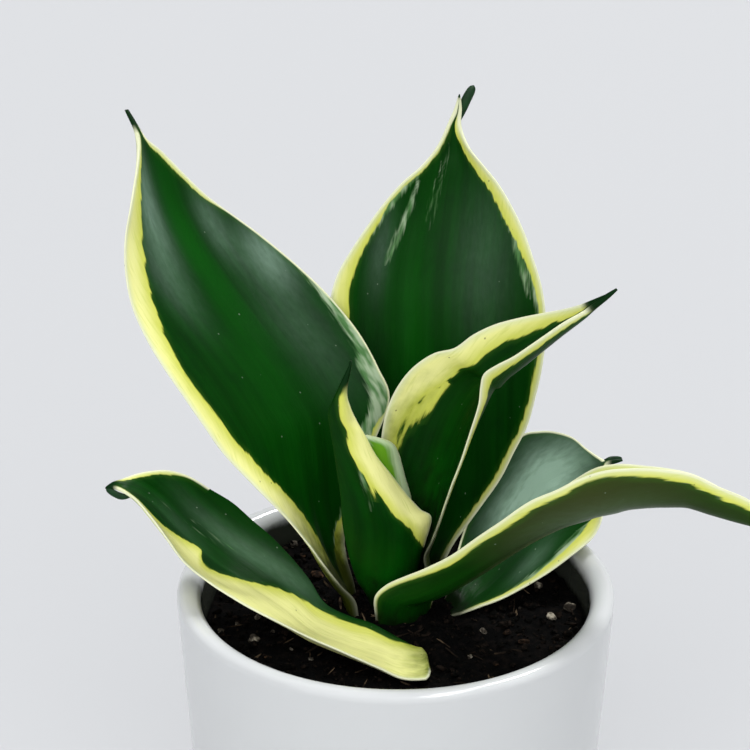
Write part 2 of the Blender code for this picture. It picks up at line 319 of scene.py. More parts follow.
# ------------------------------------------------------------------ materials
def glaze_material(settings):
    """Stoneware under an opaque white tin glaze: bright and smooth, with a soft sheen."""
    material, shader = new_material("opaque_white_glaze")
    place = object_place(material)
    drift = pattern(material, place, 45 * MM, 1.0)
    code = "#%02x%02x%02x" % tuple(round(c * 255) for c in settings.glaze)
    tone = blend(material, drift, linear(code), linear("#d0d2d2"))
    # The inside of the wall below the lip is painted dark up to a smeared line: painted shade with
    # a wet-peat stain.
    x, y, z = split(material, place)
    reach = number(material, "SQRT", plus(material, number(material, "POWER", x, 2.0),
                                          number(material, "POWER", y, 2.0)))
    darkened_edge = plus(material, z, swing(material, pattern(material, place, 6 * MM, 3.0), 3 * MM))
    low = opposite(material, step(material, darkened_edge, POT_HEIGHT - 5 * MM, POT_HEIGHT - 2.4 * MM))
    inside = number(material, "LESS_THAN", reach, RIM_RADIUS - settings.wall + 0.8 * MM)
    tone = tint(material, tone, times(material, low, inside), "#3c3f38")
    # The glaze pools a little, which ripples its reflections over a centimetre or so.
    ripple = pattern(material, place, 9 * MM, 0.0)
    feed(material, shader, {
        "Base Color": tone, "Normal": relief(material, ripple, 0.15, 0.3 * MM),
        "Roughness": 0.14, "IOR": 1.5})
    return material


def mix_material(name, dark, light, grain):
    """Dry or moist matter from the mix: rough and matt, mottled from dark to light."""
    material, shader = new_material(name)
    place = object_place(material)
    patch = pattern(material, place, grain, 3.0)
    tone = blend(material, step(material, patch, 0.45, 0.75), linear(dark), linear(light))
    fine = pattern(material, place, grain / 3, 4.0)
    feed(material, shader, {
        "Base Color": tone, "Normal": relief(material, fine, 0.8, 0.5 * MM),
        "Roughness": 0.9, "Specular IOR Level": 0.04})
    return material


def leaf_material():
    """Waxy snake plant skin: satin dark green, cream yellow along the margins."""
    material, shader = new_material("waxy_variegated_leaf")
    uv = add(material, "ShaderNodeUVMap", uv_map="blade").outputs[0]
    # The blade map holds decimetres across and along; from here on lengths are millimetres.
    place = add(material, "ShaderNodeVectorMath", {0: uv, 1: (100, 100, 100)},
                operation="MULTIPLY").outputs[0]
    band, pale, edge = split(material, attribute(material, "zones", "Vector"))
    spine, youth, olive = split(material, attribute(material, "growth", "Vector"))
    # Painted sheen, green painted brighter where lit, and the base's peat stain with painted shade,
    # each as set on the leaf.
    painted_sheen, lit_green, peat = (attribute(material, name) for name in ("painted_sheen", "lit_green", "peat"))

    # Streaks run along the leaf, from 1 to 9 mm wide, and shift the border of the yellow.
    streak = streaky(material, place, (1.2, 12), 3.0)
    comb = streaky(material, place, (0.7, 7), 2.0)
    lobes = streaky(material, place, (7, 9), 2.0)
    shift = plus(material, swing(material, streak, 2.0), swing(material, lobes, 1.3))
    # Where there is no margin to speak of, the border stays put.
    shift = times(material, shift, step(material, edge, 0.0, 2.5))
    ragged = plus(material, band, shift)
    # On the youngest leaf the colours run into each other.
    crisp = opposite(material, times(material, youth, 0.8))
    yellow = step(material, times(material, ragged, crisp), -0.3, 0.3)
    # Towards the base a peat stain and painted shade, with a ragged edge.
    base_mottle = streaky(material, place, (3, 5), 3.0)
    stain_and_shade = step(material, plus(material, peat, swing(material, base_mottle, 0.5)), 0.0, 0.8)

    # Green: soft darker and lighter lines along the leaf and blotches over it.
    lines = streaky(material, place, (3.0, 70), 3.0)
    blotch = streaky(material, place, (9, 14), 4.0)
    green = blend(material, step(material, lines, 0.3, 0.7), linear("#033003"), linear("#053c05"))
    dark = times(material, step(material, blotch, 0.45, 0.7), 0.5)
    green = tint(material, green, dark, "#032706")
    # Painted light: brighter green laid in patches where the light falls brightest.
    green = tint(material, green, times(material, lit_green, 0.8), "#0a560a")
    green = tint(material, green, times(material, youth, 0.9), "#68a21e")
    green = tint(material, green, times(material, olive, 0.75), "#3d421d")
    # Painted sheen: patches of pale grey-green over the green stand for the light's reflection on
    # the waxy skin.
    fine = streaky(material, place, (1.2, 3.5), 3.0)
    sheen_amount = times(material, painted_sheen, plus(material, 0.35, times(material, fine, 0.5)))
    green = tint(material, green, number(material, "MINIMUM", sheen_amount, 0.85), "#a3c4ae")
    # Just inside the yellow the green fades to olive.
    fringe = step(material, ragged, -1.8, -0.1)
    green = tint(material, green, times(material, fringe, 0.3), "#3a651a")

    # Pale strips are mottled grey-green and white.
    mottle = plus(material, pale, swing(material, comb, 3.2))
    chalk = times(material, step(material, mottle, 0.0, 1.8), 0.75)
    cloud = streaky(material, place, (2.0, 9), 2.0)
    chalky = blend(material, step(material, cloud, 0.38, 0.66), linear("#5f8f55"),
                   linear("#c3d9b4"))
    green = blend(material, chalk, green, chalky)

    cream = blend(material, step(material, ragged, -0.5, 5.0), linear("#d6db5c"), linear("#fbfaa6"))
    cream = tint(material, cream, youth, "#c8deb2")
    # Towards the base the yellow turns olive: peat stain and painted shade together.
    cream = tint(material, cream, stain_and_shade, "#76851a")
    # Close to the edge the yellow pales.
    fading = opposite(material, step(material, edge, 0.3, 2.0))
    cream = tint(material, cream, times(material, fading, 0.55), "#dde5b8")
    teeth = times(material, step(material, comb, 0.5, 0.75), 0.3)
    cream = tint(material, cream, teeth, "#c3cf55")
    tone = blend(material, yellow, green, cream)
    # A hard, almost white line finishes the very edge.
    rim = times(material, opposite(material, step(material, edge, 0.2, 0.7)), 0.8)
    tone = tint(material, tone, rim, "#eef0cf")
    # Towards the mix the skin is darkened by painted shade, over the peat stain.
    shade = times(material, number(material, "POWER", stain_and_shade, 4.0), 0.85)
    tone = tint(material, tone, shade, "#0a1205")
    tone = tint(material, tone, spine, "#06280a")

    # Specks: brown on the yellow, pale on the green.
    specks = add(material, "ShaderNodeTexVoronoi", {
        "Vector": stretched(material, place, (4.4, 6.2)), "Scale": 1.0,
        "Randomness": 1.0}).outputs["Distance"]
    dot = opposite(material, step(material, specks, 0.03, 0.055))
    freckle = times(material, times(material, dot, yellow), 0.6)
    tone = tint(material, tone, freckle, "#4b4a1c")
    dust = times(material, times(material, dot, opposite(material, yellow)), 0.35)
    tone = tint(material, tone, dust, "#9db39a")

    grain = pattern(material, place, 0.35, 1.0)
    height = plus(material, times(material, comb, 0.6), plus(
        material, times(material, fine, 0.5), times(material, grain, 0.15)))
    feed(material, shader, {
        "Base Color": tone, "Normal": relief(material, height, 0.35, 0.3 * MM),
        "Roughness": plus(material, 0.26, times(material, streak, 0.24)),
        "Specular IOR Level": 0.06})
    return material


def spine_material():
    """Dried leaf point: hard, nearly black green, satin."""
    material, shader = new_material("dry_leaf_point")
    patch = pattern(material, object_place(material), 1.5 * MM, 2.0)
    tone = blend(material, patch, linear("#041c07"), linear("#11401a"))
    feed(material, shader, {"Base Color": tone, "Specular IOR Level": 0.2, "Roughness": 0.45})
    return material


# ------------------------------------------------------------------ leaves
# A leaf hangs between its two edges. Each row is one station from the base to the tip: x, y, z
# of the left edge, x, y, z of the right edge (seen on the inner face, tip up) and depth of the
# cup. Millimetres, from the point on the pot's axis at the mix's mean level. "reach" is the
# stretch, in stations, over which a leaf's direction is taken.
LEAVES = {
    "left_tall": dict(rows=(
        (-8, -5, -5, -10, 8, -5, 2), (-9.8, -4.6, -0.6, -11, 8.2, 0, 2.5),
        (-11, -3.7, 4.9, -12, 9, 5, 3), (-15, -2.7, 9.1, -13.3, 11.2, 9.8, 3.5),
        (-19.3, -1.8, 14.5, -14, 14, 15, 4), (-23.9, -2, 21.7, -13.2, 16.4, 21.1, 4.5),
        (-29.9, -2.6, 30.1, -11, 19, 29, 5), (-37.8, -3.3, 39.6, -5.9, 22.1, 40.8, 5.5),
        (-45.7, -3.9, 49.3, -1.5, 25.1, 53.1, 6), (-50.8, -4, 57.7, -4.6, 26.6, 61.8, 6.6),
        (-55.4, -3.8, 65.4, -8.7, 27.9, 69.7, 7), (-60, -3.2, 72.6, -13.6, 28.9, 76.5, 7.1),
        (-64.2, -2, 79.9, -19.6, 29.8, 83.4, 7), (-67.9, -0.4, 88.3, -27.3, 30.2, 91.1, 6.6),
        (-69.7, 2, 97, -35.7, 30.1, 98.4, 6), (-69.8, 5.2, 105.4, -43.4, 29.4, 104.7, 5.6),
        (-68.6, 9, 112.9, -50.4, 28.2, 110.6, 5), (-67.7, 13.7, 119, -56.6, 26.9, 117.3, 3.6),
        (-67.3, 18, 123.9, -61.9, 25.6, 123.6, 2), (-67.4, 20.4, 127.4, -65.1, 23.9, 127, 0.8),
        (-68.5, 22, 130, -67, 23, 130, 0), (-71, 24, 135, -70, 24.5, 135, 0),
    )),
    "back_tall": dict(rows=(
        (1, 12, -5, 9, 11, -5, 2), (2.2, 13.4, 1.7, 11.4, 11.9, 1.7, 2.5),
        (3, 15, 8, 14, 13, 8, 3), (3.1, 17.4, 12.9, 16.7, 14.5, 13.4, 3.4),
        (2, 20, 18, 20.5, 16.1, 18.3, 4), (-1.1, 22.1, 24.6, 25.2, 18.1, 24.4, 4.9),
        (-5, 24, 32, 29.9, 20, 31, 6), (-9.2, 26.1, 39.8, 33.5, 21.8, 38.2, 7.1),
        (-13, 28, 48, 37.1, 23.2, 45.5, 8), (-15.4, 29.1, 57.1, 39.1, 24.3, 53.1, 8.6),
        (-17, 30, 66, 40.7, 25.1, 61.2, 9), (-18.1, 31, 73.3, 41.5, 25.5, 69.6, 9.1),
        (-18, 32, 80, 41.3, 26, 78, 9), (-16.1, 33, 86.9, 40, 26.9, 85.8, 9.1),
        (-12.5, 34.1, 93.3, 37.6, 28.1, 93.2, 9), (-8.1, 35.6, 99.7, 35, 30.1, 100.2, 8.7),
        (-3.3, 37.4, 106, 31.6, 32.3, 106.8, 8), (1.7, 39.1, 111.4, 27.8, 34.4, 112.7, 6.6),
        (7.2, 40.4, 116, 23.6, 36.2, 117.5, 5), (11.4, 41.3, 121.1, 19.9, 38.1, 121.8, 4),
        (14.4, 41.2, 127.5, 17.8, 40.9, 126.7, 1.6), (16.2, 40.6, 131.8, 17.7, 40.5, 131.6, 0.5),
        (17, 39.9, 135.8, 17.4, 39.9, 135.8, 0),
    )),
    "right_folded": dict(rows=(
        (2, 10, -5, 8, 2, -5, 2), (1.6, 9.9, 0.5, 8.4, 1, 2.8, 3), (1, 10, 6, 9, 0, 10, 4),
        (-0.4, 10.9, 11.2, 7.9, -0.7, 16.5, 4.9), (-2, 12, 17, 9.5, -1.8, 21.6, 6),
        (-3.2, 13.1, 24.3, 11.3, -2.8, 27.7, 7.5), (-4, 14, 32, 13.1, -3.9, 34.3, 9),
        (-3.9, 14.7, 39, 14.8, -5.3, 40.8, 10.1), (-3.9, 15.1, 46.1, 16.6, -7, 47.1, 11),
        (-2.4, 14.8, 54, 18.3, -8.5, 53.7, 11.7), (0.5, 14.1, 61.2, 19.8, -10, 60, 12),
        (4.5, 13, 67.1, 21, -11.6, 66.4, 11.7), (9.9, 11.3, 71.8, 21.2, -13, 72, 11),
        (15.5, 8.6, 74.5, 21.9, -13.9, 75.7, 10.1), (20.3, 6.4, 79, 24.8, -14.8, 78.4, 9),
        (26.1, 3.7, 82.9, 29, -16, 81.4, 7.6), (31.8, 0.3, 85.8, 33.4, -16.7, 84.9, 6),
        (37.2, -3.6, 88.4, 37.5, -16.8, 87.9, 4.4), (41.8, -7.7, 90.9, 41.5, -16.7, 90.7, 3),
        (45, -11.6, 93.3, 45.2, -16.8, 93, 1.9), (47.7, -14.8, 95.6, 48.4, -16.9, 95.2, 1),
        (53.8, -17.2, 99.4, 53.7, -17.9, 99.7, 0),
    ), reach=1.0),
    "inner_front": dict(rows=(
        (3, 2, -5, -5, 2, -5, 2), (4, 1.9, 0, -6.4, 1, 0, 2.4), (5, 2, 5, -8, -0, 5, 2.9),
        (6, 2.6, 9.9, -10.3, -1.1, 9.6, 3.4), (7, 3, 15, -11.9, -2, 15, 3.9),
        (8.4, 2.6, 20.6, -13.4, -2.5, 21.8, 4.3), (9.8, 2.5, 27.3, -14.5, -3, 29.1, 4.5),
        (6.8, 1.9, 30, -14.8, -3.4, 36.4, 4.5), (3.1, 1.8, 34.4, -15.6, -3.9, 43.2, 4.4),
        (-1, 0.9, 40.5, -16.3, -4.5, 49, 4.2), (-5.3, -0.1, 46.8, -17, -5, 54, 3.8),
        (-8, -0.7, 52.3, -17.5, -5.5, 58.2, 3.3), (-10.3, -1.9, 57.3, -17.8, -6, 61.9, 2.6),
        (-12.3, -4.6, 63.2, -16.5, -6.7, 65.8, 1.8), (-13.1, -7, 69, -15.1, -7.4, 69.2, 0.8),
        (-11.6, -7.5, 77, -11.9, -8, 76.9, 0),
    )),
    "innermost": dict(rows=(
        (4, 7, -5, -1, 5, -5, 1), (4.6, 7.5, 1.1, -2.6, 5, 1.4, 1.5), (5, 8, 7, -4, 5, 8, 2),
        (5.1, 8.6, 12.5, -5, 4.8, 14.9, 2.5), (5, 9, 18, -6, 4.5, 22, 3),
        (4.6, 9.1, 24, -7.6, 4.2, 29.3, 3.6), (4.3, 9, 30.1, -9, 4, 36, 4),
        (2.8, 8.6, 35.8, -9.2, 3.8, 41.1, 3.6), (1.6, 8, 40.9, -9, 3.5, 45, 3),
        (0.7, 7.1, 44.5, -8.8, 3.2, 47.4, 2.6), (-1.3, 6.4, 48, -8.5, 3, 49, 2),
        (-7.5, 3.5, 51.5, -8.5, 3, 51.5, 0),
    )),
    "right_arching": dict(rows=(
        (9, -1, -5, -5, -7, -5, 2.5), (9.8, -0.5, 0.9, -5.4, -6.9, 1.2, 3.5),
        (11, 0, 6, -5.7, -6.8, 7.6, 4.6), (12.9, 0.6, 8.7, -2.7, -7.6, 11.9, 5.6),
        (16, 1, 11, 1.9, -8.9, 15.3, 6.2), (21.3, 1.1, 14.2, 7.8, -10.3, 18.9, 5.9),
        (28, 1, 19, 15, -12, 23.9, 5.5), (36.1, 0.6, 27.5, 24.5, -14.6, 32.6, 6.4),
        (44, 0, 36, 33.9, -16.9, 41.2, 8.5), (49.3, -0.4, 40.9, 41.1, -18.2, 45.6, 10),
        (54, -1, 44, 46.9, -18.9, 49.2, 11), (59.3, -2.2, 45.5, 52.8, -20.2, 52, 11),
        (65, -4, 46, 59, -21.9, 53.3, 10), (71.4, -6.7, 46.4, 66.3, -23.7, 53.9, 9.1),
        (78, -10, 46, 73.9, -25.2, 53.4, 8), (84.8, -14, 43.8, 80.8, -26.5, 50.4, 6.6),
        (91, -18, 41, 88.1, -26.9, 47.1, 5), (95.9, -21.4, 38.9, 93.9, -27.1, 42.9, 2.9),
        (100, -24, 37, 99, -27, 39, 1), (107, -26, 33, 106.5, -27, 34, 0),
    )),
    "right_back": dict(rows=(
        (13, 5, -2, 13, -4, -2, 1), (14.5, 6.6, 1.5, 15.1, -3.7, 0.1, 2),
        (16, 9, 5, 18.4, -3.4, 1, 3), (17.2, 14.1, 8.2, 23.3, -1.7, 2, 4),
        (19, 20, 12, 29.5, 0.6, 3.1, 5), (22, 25.7, 17.7, 36.2, 3.6, 5.3, 6.1),
        (26, 31, 24, 43, 7, 8, 7), (31.3, 35.6, 30.7, 49.6, 11.1, 11, 7.2),
        (37, 39, 36, 55.2, 14.9, 13.8, 7), (42.1, 40.4, 36.7, 57.8, 17.5, 16.3, 6.7),
        (47, 40.8, 36.4, 59.2, 20, 19, 6), (52.2, 39.9, 35, 60.2, 23.6, 22.6, 4.6),
        (56.2, 37.7, 32.3, 60.9, 27, 26.1, 3), (59.3, 34.9, 30.9, 61.3, 29.4, 28.5, 1.3),
        (61.7, 32.8, 30.4, 61.6, 31, 30.1, 0), (66, 33.5, 31, 66, 32, 31, 0),
    )),
    "front_low": dict(rows=(
        (8.8, -32.5, 0.6, 8, -24, 0.6, 0.4), (8.1, -35.6, 0.7, 6.9, -21.2, 0.6, 0.8),
        (6.6, -37, 0.7, 4.6, -20.3, 0.8, 1), (1.2, -35.6, 0.1, -0.4, -18, 2.7, 2.1),
        (-5, -33, 1.9, -6.2, -15.2, 4.5, 3), (-13, -30.4, 4.5, -12.9, -11.6, 5, 3.6),
        (-21.5, -27.6, 7, -19.4, -7.2, 6.4, 4), (-29, -24.5, 9.2, -23.5, -1.6, 10.4, 4.5),
        (-36.2, -21.4, 11.5, -28.5, 3.5, 14.3, 5), (-42.9, -18.8, 14.2, -33.8, 7.5, 18.4, 5.6),
        (-49.6, -16.7, 17.7, -39.6, 10.2, 22.5, 6), (-55.7, -15.5, 23, -45.2, 11.7, 27.4, 6.2),
        (-60.3, -13.8, 29.5, -51.2, 11.8, 31.5, 6), (-64.7, -11, 34.2, -57, 11.2, 35.7, 5.2),
        (-68.7, -7.9, 37.4, -62.9, 9.2, 38.5, 4), (-72.2, -4.6, 38.2, -69.3, 5.1, 39.6, 1.9),
        (-75, -2, 38, -74.6, 1, 39.2, 0), (-78, -1.5, 38, -77.4, -0.4, 38.2, 0),
    )),
}
# Dry points that stand apart from the blade: root, middle and tip, and the radius at the root.
SPINES = {
    "back_tall": ((17.2, 42.2, 127.4), (18.6, 42, 132.6), (21.2, 42.6, 137.8), 1.35),
    "front_low": ((-70.5, -3, 36.4), (-74, -2.4, 36.2), (-77.8, -1.2, 37.8), 1.0),
    "right_back": ((60.6, 32.2, 31.2), (63, 32.6, 31.3), (66, 33.3, 31), 0.9),
}
# How each leaf is coloured. "left" and "right" give the width of the yellow margin and "pale_left"
# and "pale_right" that of the mottled strip inside it, as (percent of the leaf's length,
# millimetres); "back_right" is the right margin on the outer face, where it differs. "streaks"
# are thin pale lines and "fingers" yellow ones: percent and offset from the middle where they
# start, the same where they end, and width. "sheen_patches" lists patches of painted sheen:
# percent, offset, reach along in percent, reach across, strength; "lit_green" lists patches of
# green painted brighter where the light falls, in the same way. "peat" gives the percents between
# which the base's peat stain and painted shade clear, and "olive" how far the outer face has
# dulled. "point" is the length of the dark tip in stations, "outer_shows" puts lines and
# lit_green patches on the outer face, and "young" is the unripe leaf of the crown.
VARIEGATION = {
    "left_tall": dict(
        left=((0, 7), (10, 10.5), (20, 9.5), (25, 8), (30, 6.4), (40, 5.8), (50, 5.2), (55, 5.4),
              (60, 6.2), (65, 7), (70, 7.8), (75, 7.9), (80, 6.6), (85, 4.4), (90, 2), (94, 0.6),
              (100, 0)),
        right=((0, 5), (12, 4.6), (16, 3.8), (20, 1.6), (30, 1), (33, 2.4), (36, 0.5), (80, 0.3),
               (84, 1.2), (93, 1.2), (96, 0.4), (100, 0)),
        pale_right=((0, 0), (30, 3), (35, 6.2), (45, 6.2), (48, 4.2), (55, 3.6), (60, 2.8),
                    (65, 1.2), (70, 0.4), (80, 0)),
        sheen_patches=((84, -5.5, 9, 4, 0.6), (72, -9.5, 9, 5, 0.25), (70, 21, 6, 4.5, 0.6),
               (78, 12.5, 7, 3, 0.3), (56, 17, 14, 7, 0.14)),
        peat=(6, 26),
        lit_green=((76, 3.5, 16, 3.5, 0.9), (52, 0, 16, 9, 0.4), (35, -5, 15, 7, 0.3)),
    ),
    "back_tall": dict(
        left=((0, 2.5), (20, 3), (40, 4.2), (55, 5), (60, 5), (65, 4.2), (70, 3.4), (75, 2.2),
              (80, 1.2), (85, 1.4), (90, 0.8), (95, 0.4), (100, 0)),
        right=((0, 1.5), (12, 1.3), (20, 1.6), (60, 1.7), (65, 2.2), (70, 2.5), (75, 3.8),
               (80, 3.9), (85, 3.6), (89, 2.8), (93, 2.5), (96, 0.5), (100, 0)),
        pale_left=((60, 0), (75, 1.5), (80, 3), (84, 2), (88, 0)),
        pale_right=((0, 0), (45, 0.5), (50, 1.2), (57, 2), (65, 2), (75, 1.6), (82, 0.8),
                    (88, 0)),
        streaks=((84, -11, 66, -17.3, 1.8), (79, 19.2, 62, 27, 1.8), (91, -3.6, 74, -5.2, 0.8),
                 (88, -5.2, 72, -8, 0.7)),
        point=0.4,
        sheen_patches=((68, 13, 16, 9, 0.13), (70, -19, 9, 3, 0.18)),
        lit_green=((60, -9, 18, 5, 0.5), (42, -4, 14, 6, 0.4)),
    ),
    "right_folded": dict(
        left=((0, 2), (20, 2.6), (35, 3.4), (40, 3.7), (45, 5.2), (50, 7), (55, 9.8),
              (58, 9.6), (61, 7.5), (65, 5.8), (75, 5), (80, 4.4), (85, 2.8), (90, 2.7),
              (95, 1.6), (98, 0.3), (100, 0)),
        right=((0, 0.5), (100, 0.4)),
        point=1.7,
        fingers=((55, -11, 43, -11.8, 1.2), (53, -13, 40, -14.4, 1.4), (48, -15, 36, -16, 1.2)),
        peat=(6, 62),
        back_right=((0, 2), (20, 2.4), (40, 3.6), (62, 3.8), (75, 2.5), (85, 1.6), (95, 0.6),
                    (100, 0)),
        lit_green=((26, 3, 12, 9, 0.9),),
    ),
    "inner_front": dict(
        left=((0, 0), (27.5, 0), (31, 2.8), (35, 6), (40, 9.4), (50, 12), (60, 13.6), (65, 13),
              (70, 11), (75, 9), (80, 7), (85, 4.6), (90, 1.6), (94, 0.3), (100, 0)),
        right=((0, 0), (100, 0)),
        streaks=((66, 2.4, 44, 4.4, 1.2),),
        fingers=((66, 0.4, 47, 2.6, 1.5),),
        lit_green=((16, 0, 12, 7, 0.9),),
        peat=(0, 44), outer_shows=True,
    ),
    "innermost": dict(
        left=((0, 3), (60, 5), (70, 5.6), (80, 5), (90, 4), (100, 3)),
        right=((0, 1), (60, 1.4), (100, 0.8)),
        point=-1.0, young=True,
    ),
    "right_arching": dict(
        left=((0, 1), (20, 1.2), (60, 1.6), (80, 1.4), (95, 0.6), (100, 0)),
        right=((0, 0.5), (8, 0.8), (14, 1.1), (20, 1.5), (40, 1.8), (47, 1.8), (55, 1.1), (60, 1.3),
               (66, 1.8), (75, 2.2), (85, 2.0), (95, 0.8), (100, 0)),
        pale_right=((0, 0), (14, 0.4), (30, 0.8), (60, 0.8), (80, 1), (92, 0)),
        peat=(0, 14),
        olive=((0, 0), (25, 0.1), (38, 0.75), (55, 1), (68, 0.8), (80, 0.5), (100, 0.4)),
        sheen_patches=((52, 2, 14, 7, 0.24), (66, -3, 12, 6, 0.16)),
    ),
    "right_back": dict(
        left=((0, 0.4), (100, 0.3)),
        right=((0, 0.8), (10, 1), (20, 1.4), (30, 1.6), (40, 2), (50, 2.6), (60, 3.2), (70, 4),
               (78, 3.4), (85, 1.5), (93, 0.5), (100, 0)),
        pale_right=((0, 0), (15, 0.5), (30, 1.2), (40, 2.2), (55, 2.8), (70, 2.6), (80, 1),
                    (90, 0)),
        sheen_patches=((72, -6, 16, 8, 1.7), (50, -8, 14, 5, 1.0), (45, 11, 12, 3, 0.25)),
    ),
    "front_low": dict(
        left=((0, 17), (10, 16.8), (20, 18.2), (30, 20), (40, 19.6), (50, 16.6), (55, 13.6),
              (60, 10.4), (63, 8.4), (65, 9), (67, 14.5), (68.5, 14), (70, 12.6), (75, 9.2),
              (80, 4.4), (85, 2), (90, 1), (97, 0.5), (100, 0.3)),
        right=((0, 0), (76, 0), (82, 0.4), (88, 1.3), (95, 1.6), (98, 0.6), (100, 0.3)),
        streaks=((85, 1, 60, 4, 0.5), (80, 4, 55, 7, 0.4)),
        peat=(-8, 11),
        sheen_patches=((62, 8, 16, 3, 0.2), (45, 10, 12, 3, 0.2), (75, -1, 10, 3, 0.1)),
    ),
}
SPINE_SPANS = 1.0      # the hard point takes up the last span of a leaf
TIP_HALF = 0.8         # half its thickness, in millimetres
NO_MARGIN = -3.0       # stands for the width of a margin that isn't there
BARE_EDGE = 9.0        # distance that keeps edge colours off a side without a margin
UNMARKED = ((0, 0), (100, 0))


def smooth_value(values, place):
    """Catmull-Rom curve through a list of numbers or vectors, place counted in stations."""
    last = len(values) - 1
    index = min(int(place), last - 1)
    part = place - index
    p1, p2 = values[index], values[index + 1]
    p0 = values[index - 1] if index > 0 else p1 * 2 - p2
    p3 = values[index + 2] if index + 2 <= last else p2 * 2 - p1
    curve = (p0 * 2 - p1 * 5 + p2 * 4 - p3) * part ** 2 + (p1 * 3 - p0 - p2 * 3 + p3) * part ** 3
    return (p1 * 2 + (p2 - p0) * part + curve) * 0.5


def profile(pairs, place):
    """A width read off a list of (percent of the leaf's length, millimetres)."""
    for (start, low), (end, high) in zip(pairs, pairs[1:]):
        if place <= end:
            return low + (high - low) * max(0.0, (place - start) / (end - start))
    return pairs[-1][1]


def patches(spots, percent, offset):
    """Soft-edged patches on a leaf, added up at one point."""
    total = 0.0
    for middle, line, reach, spread, strength in spots:
        fall = ((percent - middle) / reach) ** 2 + ((offset - line) / spread) ** 2
        total += strength * math.exp(-fall)
    return total


def passing(lines, percent, offset):
    """For each thin line running past a point: part of the way along, width, distance."""
    for start, start_offset, end, end_offset, width in lines:
        part = (percent - start) / (end - start)
        if 0 < part < 1:
            line = start_offset + (end_offset - start_offset) * part
            yield part, width, abs(offset - line)


class Blade:
    """The shape of one leaf, in millimetres over the mix."""

    def __init__(self, index, rows, wave=0.4, reach=0.05):
        self.seed = index * 17.3
        self.reach = reach
        self.wave = wave
        self.spans = len(rows) - 1
        self.left = [Vector(row[:3]) for row in rows]
        self.right = [Vector(row[3:6]) for row in rows]
        self.cups = [float(row[6]) for row in rows]
        self.sections = {}
        self.lengths = [0.0]
        steps = 300
        last = self.middle(0)
        for i in range(1, steps + 1):
            here = self.middle(self.spans * i / steps)
            self.lengths.append(self.lengths[-1] + (here - last).length)
            last = here

    def middle(self, place):
        return (smooth_value(self.left, place) + smooth_value(self.right, place)) * 0.5

    def along(self, place):
        """Millimetres from the base along the middle."""
        spot = place / self.spans * (len(self.lengths) - 1)
        index = min(int(spot), len(self.lengths) - 2)
        part = spot - index
        return self.lengths[index] * (1 - part) + self.lengths[index + 1] * part

    def section(self, place):
        """Edges, outward direction, cup, width and distance at a place; kept once worked out."""
        if place not in self.sections:
            left = smooth_value(self.left, place)
            right = smooth_value(self.right, place)
            before, after = max(place - self.reach, 0), min(place + self.reach, self.spans)
            along = self.middle(after) - self.middle(before)
            outward = along.cross(right - left).normalized()
            self.sections[place] = (left, right, outward, smooth_value(self.cups, place),
                                    (right - left).length, self.along(place))
        return self.sections[place]

    def arc(self, place):
        """Width of the blade measured over its cup."""
        cup, width = self.section(place)[3:5]
        return width + 8 / 3 * cup ** 2 / max(width, 2)

    def surface(self, place, side):
        """A point of the middle surface; side runs from -1, the left edge, to 1."""
        left, right, outward, cup, width, distance = self.section(place)
        fade = min(1.0, width / 20)
        # The margins wave gently, each in its own rhythm.
        flutter = noise.noise(Vector((distance / 14, self.seed, 3.0 if side < 0 else 9.0)))
        lift = self.wave * fade * flutter * abs(side) ** 3
        # Shallow furrows run along the blade.
        furrow = noise.noise(Vector((side * width / 6, distance / 80, self.seed)))
        depth = 0.35 * fade * furrow * (1 - side ** 4)
        across = (left + right) * 0.5 + (right - left) * (side * 0.5)
        return across + outward * (cup * (1 - side ** 2) + lift + depth)

    def point(self, place, turn, thickness, edge):
        """A point of the skin; turn goes once round the section from the left edge."""
        angle = 2 * math.pi * turn
        side = -math.cos(angle)
        nudge = 0.01
        along = (self.surface(min(place + nudge, self.spans), side)
                 - self.surface(max(place - nudge, 0), side))
        across = (self.surface(place, min(side + nudge, 1))
                  - self.surface(place, max(side - nudge, -1)))
        outward = along.cross(across).normalized()
        depth = abs(math.sin(angle))
        blade = edge / 2 * depth ** 0.4 + (thickness - edge) / 2 * depth ** 2
        to_tip = self.spans - place
        taper = max(0.0, 1 - to_tip / SPINE_SPANS)
        half = blade * (1 - taper) + TIP_HALF * (1 - 0.6 * taper) * depth * taper
        way = 1 if turn < 0.5 else -1
        return self.surface(place, side) - outward * half * way


def record(mesh, name, values, kind="FLOAT", field="value"):
    mesh.attributes.new(name, kind, "POINT").data.foreach_set(field, values)


